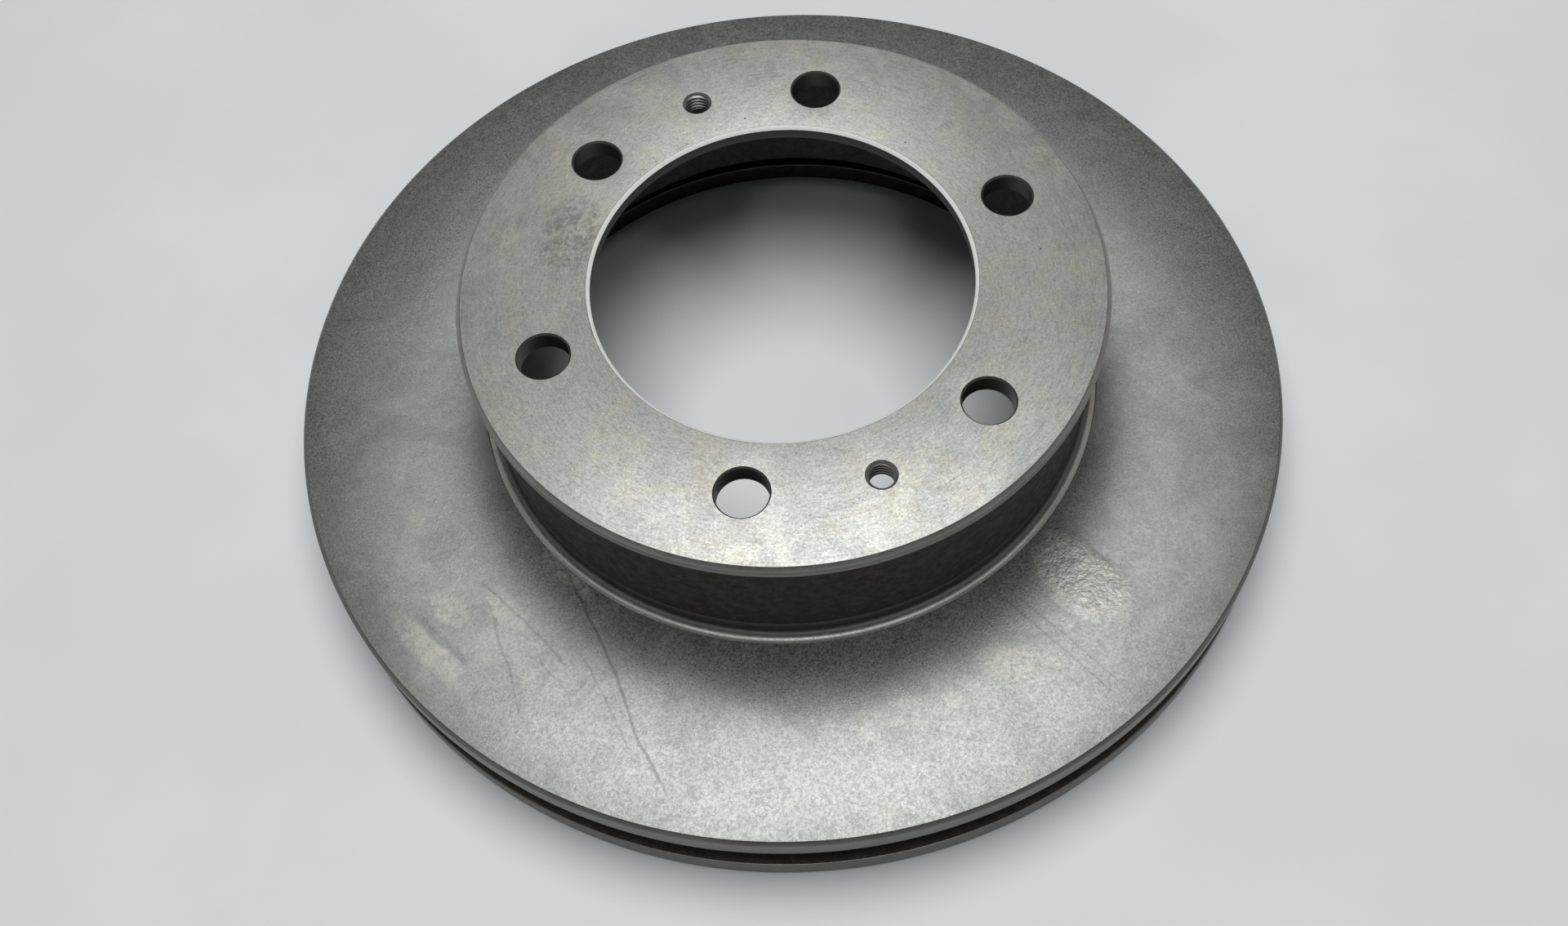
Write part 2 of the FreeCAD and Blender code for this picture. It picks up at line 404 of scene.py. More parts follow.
class Graph:
    """One material's node tree, built a node at a time on the Object coordinates."""

    def __init__(self, name: str) -> None:
        """Makes an empty material with one Principled shader."""
        self.material = bpy.data.materials.new(name)
        self.material.use_nodes = True
        tree = self.material.node_tree
        tree.nodes.clear()
        self.nodes = tree.nodes
        self.links = tree.links
        self.shader = self.nodes.new("ShaderNodeBsdfPrincipled")
        output = self.nodes.new("ShaderNodeOutputMaterial")
        self.links.new(self.shader.outputs["BSDF"], output.inputs["Surface"])
        self.place = self.nodes.new("ShaderNodeTexCoord").outputs["Object"]

    def add(self, kind: str, inputs: dict[Any, Any], output: Any = 0, **settings: Any) -> Socket:
        """Adds a node, sets its properties and fills its inputs.

        Args:
            kind: The node's type.
            inputs: A socket or a plain value for each named or numbered input.
            output: Which of its outputs is wanted.
            **settings: The node's own properties.

        Returns:
            The wanted output.
        """
        node = self.nodes.new(kind)
        for key, value in settings.items():
            setattr(node, key, value)
        for key, value in inputs.items():
            self.fill(node.inputs[key], value)
        return node.outputs[output]

    def fill(self, target: Socket, value: Any) -> None:
        """Links a socket into an input, or sets the input to a plain value."""
        if isinstance(value, bpy.types.NodeSocket):
            self.links.new(value, target)
        else:
            target.default_value = value

    def sums(self, operation: str, *values: Any, clamp: bool = False) -> Socket:
        """Adds a Math node over up to three values."""
        inputs = dict(enumerate(values))
        return self.add("ShaderNodeMath", inputs, operation=operation, use_clamp=clamp)

    def vector(self, operation: str, *values: Any, output: Any = 0) -> Socket:
        """Adds a Vector Math node over up to two values."""
        return self.add("ShaderNodeVectorMath", dict(enumerate(values)), output, operation=operation)

    def scaled(self, vector: Any, by: Any) -> Socket:
        """Scales a colour or another vector by a number."""
        return self.add("ShaderNodeVectorMath", {0: vector, "Scale": by}, operation="SCALE")

    def part(self, vector: Socket, axis: str) -> Socket:
        """Gives the X, Y or Z of a vector."""
        return self.add("ShaderNodeSeparateXYZ", {0: vector}, axis)

    def noise(self, size: float, detail: float = 2.0, rough: float = 0.5, warp: float = 0.0,
              at: Socket | None = None, shift: float = 0.0) -> Socket:
        """Adds soft noise whose lumps are about the given size.

        Args:
            size: The lumps' size, in metres, or in the vector's own units if at is given.
            detail: How many finer layers it has.
            rough: How strong the finer layers are.
            warp: How far the pattern is pulled about.
            at: The vector that it reads, in place of the Object coordinates.
            shift: Moves the pattern, so that two layers of it differ.

        Returns:
            The noise, around CENTRE.
        """
        where = self.vector("ADD", at or self.place, (shift, shift / 2, shift / 3))
        inputs = {"Vector": where, "Scale": 1 / size, "Detail": detail, "Roughness": rough,
                  "Distortion": warp}
        return self.add("ShaderNodeTexNoise", inputs, "Fac")

    def window(self, value: Socket, span: Span = NOISE_SPAN, ends: Span = (0.0, 1.0)) -> Socket:
        """Maps a value from a span to two ends, smoothly, and holds it at the ends."""
        inputs = {"Value": value, "From Min": span[0], "From Max": span[1],
                  "To Min": ends[0], "To Max": ends[1]}
        return self.add("ShaderNodeMapRange", inputs, "Result", interpolation_type="SMOOTHSTEP")

    def mix(self, share: Any, first: Any, second: Any, blend: str = "MIX") -> Socket:
        """Mixes two colours by a share from 0 to 1."""
        inputs = {0: share, MIX_FIRST: paint(first), MIX_SECOND: paint(second)}
        return self.add("ShaderNodeMix", inputs, MIX_RESULT, data_type="RGBA", blend_type=blend)

    def tint(self, share: Any, colour: Any, by: Colour) -> Socket:
        """Multiplies a colour by another as far as the share says."""
        return self.mix(share, colour, by, "MULTIPLY")

    def varied(self, level: Any, *layers: tuple[Socket, float]) -> Socket:
        """Adds patterns that lie around CENTRE to a level, each by its own amount."""
        for pattern, amount in layers:
            level = self.sums("MULTIPLY_ADD", self.sums("SUBTRACT", pattern, CENTRE), amount, level)
        return level

    def total(self, shares: Iterable[Socket]) -> Any:
        """Adds up shares from 0 to 1, and stops at 1."""
        sum_so_far: Any = 0.0
        for share in shares:
            sum_so_far = self.sums("ADD", sum_so_far, share, clamp=True)
        return sum_so_far

    def from_axis(self) -> Socket:
        """Gives the vector from the disc's axis, with no height."""
        return self.vector("MULTIPLY", self.place, (1, 1, 0))

    def radius(self) -> Socket:
        """Gives the distance from the disc's axis."""
        return self.vector("LENGTH", self.from_axis(), output="Value")

    def height(self) -> Socket:
        """Gives the height in the disc's frame."""
        return self.part(self.place, "Z")

    def round_axis(self, arcs: float, pitch: float, depth: Socket | None = None) -> Socket:
        """Gives a vector in which noise runs in arcs about the axis, as a tool's marks do.

        Args:
            arcs: About how many arcs follow each other in one radian.
            pitch: The width of a mark, across the direction of turning.
            depth: What is measured across the marks; the radius, unless it is given.

        Returns:
            The vector, in units of one mark.
        """
        across = self.sums("DIVIDE", depth or self.radius(), pitch)
        along = self.scaled(self.vector("NORMALIZE", self.from_axis()), arcs)
        return self.vector("ADD", along, self.add("ShaderNodeCombineXYZ", {"Z": across}))

    def bump(self, height: Socket, depth: float, under: Socket | None = None) -> Socket:
        """Adds a Bump node of a depth in metres, over another one if it is given."""
        inputs = {"Height": height, "Distance": depth, "Strength": 1.0}
        if under is not None:
            inputs["Normal"] = under
        return self.add("ShaderNodeBump", inputs, "Normal")

    def finish(self, **inputs: Any) -> bpy.types.Material:
        """Fills the shader's inputs, named with _ for a space, and gives the material."""
        for key, value in inputs.items():
            self.fill(self.shader.inputs[key.replace("_", " ")], value)
        return self.material


def paint(colour: Any) -> Any:
    """Gives a plain colour its fourth value; a socket stays as it is."""
    return (*colour, 1.0) if isinstance(colour, tuple) and len(colour) == 3 else colour


@dataclass(frozen=True)
class Mark:
    """A streak or a patch on a flat face, laid along a line. Its lengths are in millimetres.

    Attributes:
        start: Where it starts, across the disc's axis.
        end: Where it ends.
        width: Its full width.
        strength: How strong it is, from 0 to 1.
        wander: How far it strays from the line.
        bend: How long one of its bends is.
        edge: Where a streak fades, from its line at 0 to its edge at 1.
        tip: Where a streak fades, from its middle at 0 to its end at 0.5.
        rim: Where a patch fades, by the square of the way out.
    """

    start: Point
    end: Point
    width: float
    strength: float = 1.0
    wander: float = 0.4
    bend: float = 24
    edge: Span = (0.3, 1.0)
    tip: Span = (0.38, 0.5)
    rim: Span = (0.25, 1.0)

    def along(self, g: Graph) -> tuple[Socket, Socket]:
        """Gives the place along the mark, from 0 to 1, and across it, from -1 to 1."""
        reach = Vector(self.end) - Vector(self.start)
        stray = g.noise(self.bend * MM, detail=2, shift=self.start[0])
        stray = g.vector("SUBTRACT", stray, (CENTRE, CENTRE, CENTRE))
        stray = g.scaled(stray, SWINGS * self.wander * MM)
        own = g.add("ShaderNodeMapping", {
            "Vector": g.vector("ADD", g.place, stray),
            "Location": (self.start[0] * MM, self.start[1] * MM, 0),
            "Rotation": (0, 0, math.atan2(reach.y, reach.x)),
            "Scale": (reach.length * MM, self.width / 2 * MM, 1),
        }, "Vector", vector_type="TEXTURE")
        return g.part(own, "X"), g.part(own, "Y")

    def streak(self, g: Graph) -> Socket:
        """Gives the share of a streak that is sharp across and fades at its ends."""
        x, y = self.along(g)
        across = g.window(g.sums("ABSOLUTE", y), self.edge, (self.strength, 0.0))
        ends = g.window(g.sums("ABSOLUTE", g.sums("SUBTRACT", x, 0.5)), self.tip, (1.0, 0.0))
        return g.sums("MULTIPLY", across, ends)

    def patch(self, g: Graph) -> Socket:
        """Gives the share of a soft oval patch."""
        x, y = self.along(g)
        x = g.sums("MULTIPLY_ADD", x, 2.0, -1.0)
        squares = g.sums("MULTIPLY_ADD", x, x, g.sums("MULTIPLY", y, y))
        return g.window(squares, self.rim, (self.strength, 0.0))


class Finish(ABC):
    """A surface finish that can be made into a material.

    Colours such as worn, or the dark of the painted reflections, are what a mark multiplies the base
    colour by. A span says over which of a noise's values a mark fades in, a share is its greatest
    strength, and a swing is how far a layer of grain moves the tone. Where roughness or metal has two
    values, they are for the low and the high end of a noise.
    """

    @abstractmethod
    def make(self) -> bpy.types.Material:
        """Builds the finish's material."""


@dataclass(frozen=True)
class TurnedFace(Finish):
    """Face-turned iron: bright, with short arcs left by the tool, pits, scratches and stains."""

    name: str = "turned_face"
    colour: Colour = (0.385, 0.388, 0.366)
    metal: Span = (0.5, 0.9)
    roughness: Span = (0.39, 0.47)
    roughness_span: Span = (0.35, 0.65)
    spread: float = 0.5
    spread_turn: float = 0.25
    fine_arcs: float = 26
    fine_pitch: float = 0.42 * MM
    fine_depth: float = 0.012 * MM
    fine_swing: float = 0.8
    broad_arcs: float = 5
    broad_pitch: float = 1.5 * MM
    broad_swing: float = 0.15
    grain: float = 0.45 * MM
    grain_depth: float = 0.012 * MM
    grain_swing: float = 1.2
    speck: float = 0.765 * MM
    speck_swing: float = 0.9
    stain: float = 16 * MM
    warmed: Colour = (1.06, 1.04, 0.96)
    warm_span: Span = (0.48, 0.66)
    cool_stain: float = 22.4 * MM
    cooled: Colour = (0.90, 0.92, 0.96)
    cool_span: Span = (0.52, 0.72)
    wear: float = 12.8 * MM
    worn: Colour = (0.80, 0.80, 0.80)
    wear_span: Span = (0.57, 0.66)
    wear_share: float = 0.6
    scratched: Colour = (0.58, 0.58, 0.57)
    scratch_arcs: float = 2.2
    scratch_pitch: float = 0.7 * MM
    scratch_span: Span = (0.72, 0.80)
    scratch_share: float = 0.8
    pitted: Colour = (0.12, 0.11, 0.10)
    pit_spacing: float = 9 * MM
    pit_radius: float = 0.35 * MM
    pit_core: float = 0.14 * MM
    fleck: float = 2.6 * MM
    fleck_span: Span = (0.40, 0.62)
    smudge: Mark | None = None

    def make(self) -> bpy.types.Material:
        """Builds the finish's material.

        Returns:
            The material.
        """
        g = Graph(self.name)
        fine = g.noise(1.0, detail=3, rough=0.7, at=g.round_axis(self.fine_arcs, self.fine_pitch))
        broad = g.noise(1.0, detail=2, at=g.round_axis(self.broad_arcs, self.broad_pitch))
        grain = g.noise(self.grain, detail=3, rough=0.75)
        speck = g.noise(self.speck, detail=4, rough=0.8, shift=1.0)
        level = g.varied(1.0, (fine, self.fine_swing), (broad, self.broad_swing),
                         (grain, self.grain_swing), (speck, self.speck_swing))
        colour = self.stained(g, g.scaled(self.colour, level))
        colour = self.scored(g, self.open_pits(g, colour))
        cloud = g.noise(self.stain, detail=5, rough=0.6, warp=1.5)
        return g.finish(
            Base_Color=colour,
            Roughness=g.window(cloud, self.roughness_span, self.roughness),
            Metallic=g.window(speck, NOISE_SPAN, self.metal),
            Normal=g.bump(grain, self.grain_depth, g.bump(fine, self.fine_depth)),
            Anisotropic=self.spread,
            Anisotropic_Rotation=self.spread_turn,
            Tangent=g.add("ShaderNodeTangent", {}, "Tangent", direction_type="RADIAL", axis="Z"),
        )

    def stained(self, g: Graph, colour: Socket) -> Socket:
        """Lays faint warm, cool and dull stains, and the smudge, over the colour."""
        warm = g.noise(self.stain, detail=6, rough=0.65, warp=1.2, shift=3.0)
        cool = g.noise(self.cool_stain, detail=5, rough=0.6, warp=0.8, shift=7.0)
        dull = g.noise(self.wear, detail=7, rough=0.7, warp=2.0, shift=11.0)
        colour = g.tint(g.window(warm, self.warm_span), colour, self.warmed)
        colour = g.tint(g.window(cool, self.cool_span), colour, self.cooled)
        colour = g.tint(g.window(dull, self.wear_span, (0.0, self.wear_share)), colour, self.worn)
        if self.smudge is not None:
            flecks = g.noise(self.fleck, detail=8, rough=0.75, warp=0.8, shift=15.0)
            spot = g.sums("MULTIPLY", self.smudge.patch(g), g.window(flecks, self.fleck_span))
            colour = g.tint(spot, colour, self.scratched)
        return colour

    def scored(self, g: Graph, colour: Socket) -> Socket:
        """Draws a few thin dark arcs, where the tool or a chip has scratched the face."""
        way = g.round_axis(self.scratch_arcs, self.scratch_pitch)
        lines = g.noise(1.0, detail=1, at=way, shift=21.0)
        dark = g.window(lines, self.scratch_span, (0.0, self.scratch_share))
        return g.tint(dark, colour, self.scratched)

    def open_pits(self, g: Graph, colour: Socket) -> Socket:
        """Scatters small dark pits, the open graphite of the iron."""
        cells = {"Vector": g.place, "Scale": 1 / self.pit_spacing}
        nearest = g.add("ShaderNodeTexVoronoi", cells, "Distance")
        edge = (self.pit_core / self.pit_spacing, self.pit_radius / self.pit_spacing)
        return g.tint(g.window(nearest, edge, (1.0, 0.0)), colour, self.pitted)


@dataclass(frozen=True)
class GroundFace(Finish):
    """Iron ground with no direction to it: glinting grain, pale deposits, painted reflections, light and
    shade.
    """

    outer: float
    reflection_streaks: tuple[Mark, ...] = ()
    deposits_and_painted_light: tuple[Mark, ...] = ()
    crust: tuple[Mark, ...] = ()
    name: str = "ground_face"
    colour: Colour = (0.262, 0.267, 0.258)
    metal: Span = (0.38, 1.14)
    roughness: Span = (0.29, 0.45)
    grain: float = 0.5 * MM
    grain_depth: float = 0.03 * MM
    grain_swing: float = 1.2
    speck: float = 0.85 * MM
    speck_swing: float = 0.7
    coarse: float = 3.5 * MM
    coarse_swing: float = 0.3
    flake: float = 1.1 * MM
    flake_span: Span = (0.30, 0.48)
    blotch: float = 30 * MM
    dulled: Colour = (0.86, 0.87, 0.88)
    dull_span: Span = (0.45, 0.66)
    # How far in from the rim the face darkens: a darker outer ring, widened as painted shade.
    rim_shade_band: float = 14 * MM
    rim_tone_and_shade: Colour = (0.88, 0.88, 0.87)
    # The dark of the streaks, which are painted reflections in the oil film.
    reflection_dark: Colour = (0.62, 0.64, 0.66)
    crust_lump: float = 2.0 * MM
    crust_depth: float = 0.3 * MM
    cream: Colour = (0.84, 0.81, 0.66)
    cream_share: float = 0.22
    cream_metal_loss: float = 0.3
    crumb: float = 3.5 * MM
    crumb_span: Span = (0.38, 0.60)
    film_span: Span = (0.52, 0.66)
    film_share: float = 0.3

    def make(self) -> bpy.types.Material:
        """Builds the finish's material.

        Returns:
            The material.
        """
        g = Graph(self.name)
        fine = g.noise(self.grain, detail=3, rough=0.75, warp=0.8)
        speck = g.noise(self.speck, detail=4, rough=0.8, warp=0.6, shift=1.0)
        flake = g.noise(self.flake, detail=4, rough=0.8, warp=2.5, shift=2.0)
        coarse = g.noise(self.coarse, detail=4, rough=0.65, shift=4.0)
        blotch = g.noise(self.blotch, detail=6, rough=0.6, warp=1.8, shift=9.0)
        lumps = g.noise(self.crust_lump, detail=4, rough=0.6, shift=6.0)
        level = g.varied(1.0, (fine, self.grain_swing), (speck, self.speck_swing),
                         (coarse, self.coarse_swing))
        pale = self.cream_of_deposits_and_light(g)
        colour = g.scaled(self.colour, level)
        colour = g.tint(g.window(flake, self.flake_span, (1.0, 0.0)), colour, self.dulled)
        colour = g.tint(g.window(blotch, self.dull_span), colour, self.dulled)
        # Darker towards the rim: partly a darker outer ring, partly painted shade where the highlight
        # fades.
        band = g.window(g.radius(), (self.outer - self.rim_shade_band, self.outer))
        colour = g.tint(band, colour, self.rim_tone_and_shade)
        # Pale cream: real deposits, and painted light in the broad band by the hat's front foot.
        colour = g.mix(g.sums("MULTIPLY", pale, self.cream_share), colour, self.cream)
        # Darkens thin streaks: painted reflections in the face's oil film.
        colour = g.tint(g.total(mark.streak(g) for mark in self.reflection_streaks), colour, self.reflection_dark)
        kept = g.sums("MULTIPLY_ADD", pale, -self.cream_metal_loss, 1.0)
        crusted = g.sums("MULTIPLY", lumps, g.total(mark.patch(g) for mark in self.crust))
        return g.finish(
            Base_Color=colour,
            Roughness=g.window(fine, NOISE_SPAN, self.roughness),
            Metallic=g.sums("MULTIPLY", g.window(speck, NOISE_SPAN, self.metal), kept, clamp=True),
            Normal=g.bump(fine, self.grain_depth, g.bump(crusted, self.crust_depth)),
        )

    def cream_of_deposits_and_light(self, g: Graph) -> Socket:
        """Gives the share of pale cream: broken patches of deposits and of painted light, and a faint film
        all over.
        """
        crumbs = g.window(g.noise(self.crumb, detail=8, rough=0.8, warp=1.0, shift=5.0),
                          self.crumb_span)
        patches = g.total(mark.patch(g) for mark in self.deposits_and_painted_light + self.crust)
        film = g.window(g.noise(self.blotch, detail=8, rough=0.7, warp=1.5, shift=12.0),
                        self.film_span, (0.0, self.film_share))
        return g.sums("MULTIPLY_ADD", patches, crumbs, film, clamp=True)


@dataclass(frozen=True)
class CastSkin(Finish):
    """As-cast, shot-blasted iron: dark, matt and slightly lumpy."""

    name: str = "cast_skin"
    colour: Colour = (0.050, 0.046, 0.041)
    metal: float = 0.7
    roughness: Span = (0.54, 0.72)
    lump: float = 2.6 * MM
    lump_depth: float = 0.22 * MM
    sand: float = 0.55 * MM
    sand_depth: float = 0.09 * MM
    sand_span: Span = (0.25, 0.75)
    sand_tones: Span = (0.65, 1.35)
    rust: float = 30 * MM
    rusted: Colour = (1.25, 1.0, 0.78)
    rust_span: Span = (0.5, 0.75)
    rust_share: float = 0.5

    def make(self) -> bpy.types.Material:
        """Builds the finish's material.

        Returns:
            The material.
        """
        g = Graph(self.name)
        lumps = g.noise(self.lump, detail=3, rough=0.55)
        sand = g.noise(self.sand, detail=3, rough=0.7, shift=4.0)
        rust = g.noise(self.rust, detail=4, warp=0.8, shift=8.0)
        colour = g.scaled(self.colour, g.window(sand, self.sand_span, self.sand_tones))
        rusty = g.window(rust, self.rust_span, (0.0, self.rust_share))
        return g.finish(
            Base_Color=g.tint(rusty, colour, self.rusted),
            Roughness=g.window(lumps, NOISE_SPAN, self.roughness),
            Metallic=self.metal,
            Normal=g.bump(sand, self.sand_depth, g.bump(lumps, self.lump_depth)),
        )


@dataclass(frozen=True)
class TurnedEdge(Finish):
    """A turned edge or wall: smooth grey iron with fine rings round the axis."""

    name: str = "turned_edge"
    colour: Colour = (0.28, 0.275, 0.26)
    roughness: Span = (0.33, 0.46)
    arcs: float = 4
    pitch: float = 0.3 * MM
    mark_depth: float = 0.008 * MM
    mark_swing: float = 0.5
    grain: float = 0.8 * MM
    grain_swing: float = 0.4
    smear: float = 18 * MM
    smeared: Colour = (0.82, 0.79, 0.74)
    smear_span: Span = (0.45, 0.7)
    smear_share: float = 0.6

    def make(self) -> bpy.types.Material:
        """Builds the finish's material.

        Returns:
            The material.
        """
        g = Graph(self.name)
        across = g.sums("ADD", g.radius(), g.height())
        way = g.round_axis(self.arcs, self.pitch, across)
        marks = g.noise(1.0, detail=3, rough=0.6, at=way)
        grain = g.noise(self.grain, detail=3, rough=0.7)
        smear = g.noise(self.smear, detail=4, warp=1.0, shift=6.0)
        level = g.varied(1.0, (marks, self.mark_swing), (grain, self.grain_swing))
        smears = g.window(smear, self.smear_span, (0.0, self.smear_share))
        return g.finish(
            Base_Color=g.tint(smears, g.scaled(self.colour, level), self.smeared),
            Roughness=g.window(grain, NOISE_SPAN, self.roughness),
            Metallic=1.0,
            Normal=g.bump(marks, self.mark_depth),
        )


@dataclass(frozen=True)
class BoredWall(Finish):
    """The wall of a drilled or bored hole: dull dark iron with fine rings."""

    name: str = "bored_wall"
    colour: Colour = (0.062, 0.060, 0.056)
    metal: float = 0.5
    roughness: Span = (0.44, 0.58)
    arcs: float = 6
    pitch: float = 0.4 * MM
    ring_depth: float = 0.01 * MM
    ring_swing: float = 0.6
    grain: float = 0.8 * MM
    grain_swing: float = 0.6

    def make(self) -> bpy.types.Material:
        """Builds the finish's material.

        Returns:
            The material.
        """
        g = Graph(self.name)
        way = g.round_axis(self.arcs, self.pitch, g.height())
        rings = g.noise(1.0, detail=3, rough=0.6, at=way)
        grain = g.noise(self.grain, detail=3, rough=0.7)
        level = g.varied(1.0, (rings, self.ring_swing), (grain, self.grain_swing))
        return g.finish(
            Base_Color=g.scaled(self.colour, level),
            Roughness=g.window(grain, NOISE_SPAN, self.roughness),
            Metallic=self.metal,
            Normal=g.bump(rings, self.ring_depth),
        )


@dataclass(frozen=True)
class PaintedHighlightChamfer(Finish):
    """The bore's chamfer painted near white: a painted highlight, the reflection of a light, with a
    slightly broken line.
    """

    name: str = "painted_highlight_chamfer"
    # Near white: a painted highlight, where the chamfer reflects a light.
    colour: Colour = (0.97, 0.97, 0.94)
    metal: float = 0.15
    roughness: Span = (0.35, 0.45)
    grain: float = 0.8 * MM
    grain_depth: float = 0.01 * MM
    grain_swing: float = 0.35
    level: float = 0.97

    def make(self) -> bpy.types.Material:
        """Builds the finish's material.

        Returns:
            The material.
        """
        g = Graph(self.name)
        grain = g.noise(self.grain, detail=3, rough=0.7)
        return g.finish(
            Base_Color=g.scaled(self.colour, g.varied(self.level, (grain, self.grain_swing))),
            Roughness=g.window(grain, NOISE_SPAN, self.roughness),
            Metallic=self.metal,
            Normal=g.bump(grain, self.grain_depth),
        )


@dataclass(frozen=True)
class PaleFloor(Finish):
    """A plain pale painted floor."""

    name: str = "pale_floor"
    colour: Colour = (0.80, 0.82, 0.83)
    roughness: float = 0.55
    cloud: float = 120 * MM
    cloud_tones: Span = (0.97, 1.03)
    grain: float = 3 * MM
    grain_depth: float = 0.05 * MM

    def make(self) -> bpy.types.Material:
        """Builds the finish's material.

        Returns:
            The material.
        """
        g = Graph(self.name)
        cloud = g.noise(self.cloud, detail=4, rough=0.55)
        return g.finish(
            Base_Color=g.scaled(self.colour, g.window(cloud, NOISE_SPAN, self.cloud_tones)),
            Roughness=self.roughness,
            Normal=g.bump(g.noise(self.grain), self.grain_depth),
        )


class FinishShop:
    """Makes each finish's material once and hands it out."""

    def __init__(self) -> None:
        """Starts with no materials."""
        self.made: dict[Finish, bpy.types.Material] = {}

    def material(self, finish: Finish) -> bpy.types.Material:
        """Gives the material of a finish, and makes it the first time."""
        if finish not in self.made:
            self.made[finish] = finish.make()
        return self.made[finish]

    def dress(self, piece: bpy.types.Object, main: Finish,
              zones: Sequence[tuple[Finish, Callable[[Vector, Vector], bool]]] = ()) -> None:
        """Gives a piece its main finish, and other finishes on some of its faces.

        Args:
            piece: The piece to dress.
            main: The finish of every face that no zone takes.
            zones: A finish, and the rule for a face's centre and normal, for each zone.
        """
        piece.data.materials.clear()
        piece.data.materials.append(self.material(main))
        for finish, _ in zones:
            piece.data.materials.append(self.material(finish))
        for face in piece.data.polygons:
            face.material_index = 0
            for index, (_, rule) in enumerate(zones, start=1):
                if rule(face.center, face.normal):
                    face.material_index = index


# ---------------------------------------------------------------------------------------
# The disc
# ---------------------------------------------------------------------------------------


@dataclass(frozen=True)
class ThreadTap:
    """A tap for the jack-screw holes, M8 x 1.25."""

    major_radius: float = 4.0 * MM
    pitch: float = 1.25 * MM
    root_flat: float = 0.2 * MM
    flank: float = math.radians(30)
    overlap: float = 0.12 * MM
    facets: int = 40

    def make(self, drill_radius: float, low: float, high: float) -> bpy.types.Object:
        """Winds a ridge of the thread's section up the axis.

        Args:
            drill_radius: Radius of the hole that it taps.
            low: Height at which the ridge starts.
            high: Height that the ridge passes.

        Returns:
            The closed helical cutter, about the Z axis.
        """
        inner = drill_radius - self.overlap
        depth = self.major_radius - inner
        foot = self.root_flat + 2 * depth * math.tan(self.flank)
        ridge = primitive("thread_tap", bpy.ops.mesh.primitive_plane_add, size=1,
                          rotation=(math.pi / 2, 0, 0))
        with edit_mode(ridge):
            bpy.ops.mesh.select_all(action="SELECT")
            bpy.ops.transform.resize(value=(depth, 1, foot), center_override=(0, 0, 0))
            middle = (inner + depth / 2, 0, low)
            bpy.ops.transform.translate(value=middle)
            select_edges(ridge, lambda a, b: min(a.x, b.x) > inner + depth / 2)
            narrow = self.root_flat / foot
            bpy.ops.transform.resize(value=(1, 1, narrow), center_override=(0, 0, low))
        turns = math.ceil((high - low) / self.pitch)
        apply_modifier(ridge, "SCREW", screw_offset=self.pitch, iterations=turns,
                       steps=self.facets, render_steps=self.facets)
        with edit_mode(ridge):
            bpy.ops.mesh.select_mode(type="EDGE")
            bpy.ops.mesh.select_all(action="DESELECT")
            bpy.ops.mesh.select_non_manifold()
            bpy.ops.mesh.fill_holes(sides=4)
        smooth(ridge)
        return ridge


